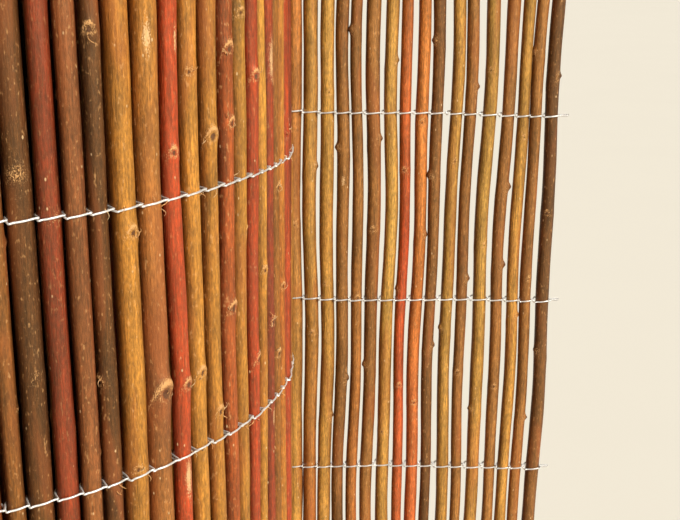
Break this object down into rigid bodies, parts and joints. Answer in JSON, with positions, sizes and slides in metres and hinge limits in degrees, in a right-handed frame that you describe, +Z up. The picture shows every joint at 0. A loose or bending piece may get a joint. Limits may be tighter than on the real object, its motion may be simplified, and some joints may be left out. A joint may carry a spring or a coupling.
{
  "type": "willow screen",
  "caption": "Partly unrolled willow garden screen: bark-on willow rods in ochre, brown and red, bound side by side by rows of twisted galvanised wire.",
  "frame": {"origin": "middle of the screen's foot, on the ground it stands on", "axes": "+Z up along the rods, +X along the flat end away from the roll, -Y towards the viewer"},
  "size_m": [0.437, 0.2628, 1],
  "materials": {
    "ochre_bark": "satin bark",
    "brown_bark": "satin bark",
    "red_bark": "glossy bark",
    "galvanised_wire": "bright galvanised"
  },
  "bodies": {
    "root": {"inner_turns_brown_rods": "brown_bark", "inner_turns_ochre_rods": "ochre_bark", "inner_turns_red_rods": "red_bark", "outer_turn_brown_rods": "brown_bark", "outer_turn_ochre_rods": "ochre_bark", "outer_turn_red_rods": "red_bark", "panel_rod_01": "brown_bark", "panel_rod_02": "brown_bark", "panel_rod_03": "ochre_bark", "panel_rod_04": "brown_bark", "panel_rod_05": "ochre_bark", "panel_rod_06": "brown_bark", "panel_rod_07": "ochre_bark", "panel_rod_08": "brown_bark", "panel_rod_09": "brown_bark", "panel_rod_10": "red_bark", "panel_rod_11": "ochre_bark", "panel_rod_12": "brown_bark", "panel_rod_13": "brown_bark", "panel_rod_14": "brown_bark", "panel_rod_15": "ochre_bark", "panel_rod_16": "red_bark", "panel_rod_17": "ochre_bark", "panel_rod_18": "ochre_bark", "panel_rod_19": "brown_bark", "panel_rod_20": "red_bark", "panel_rod_21": "ochre_bark", "panel_rod_22": "brown_bark", "panel_rod_23": "red_bark", "panel_rod_24": "ochre_bark", "panel_rod_25": "brown_bark", "panel_rod_26": "ochre_bark", "panel_rod_27": "brown_bark", "panel_rod_28": "ochre_bark", "panel_rod_29": "brown_bark", "panel_rod_30": "ochre_bark", "panel_rod_31": "red_bark", "panel_rod_32": "brown_bark", "panel_rod_33": "ochre_bark", "wire_row_01": "galvanised_wire", "wire_row_02": "galvanised_wire", "wire_row_03": "galvanised_wire", "wire_row_04": "galvanised_wire", "wire_row_05": "galvanised_wire", "wire_row_06": "galvanised_wire", "wire_row_07": "galvanised_wire", "wire_row_08": "galvanised_wire", "wire_row_09": "galvanised_wire"}
  },
  "joints": []
}
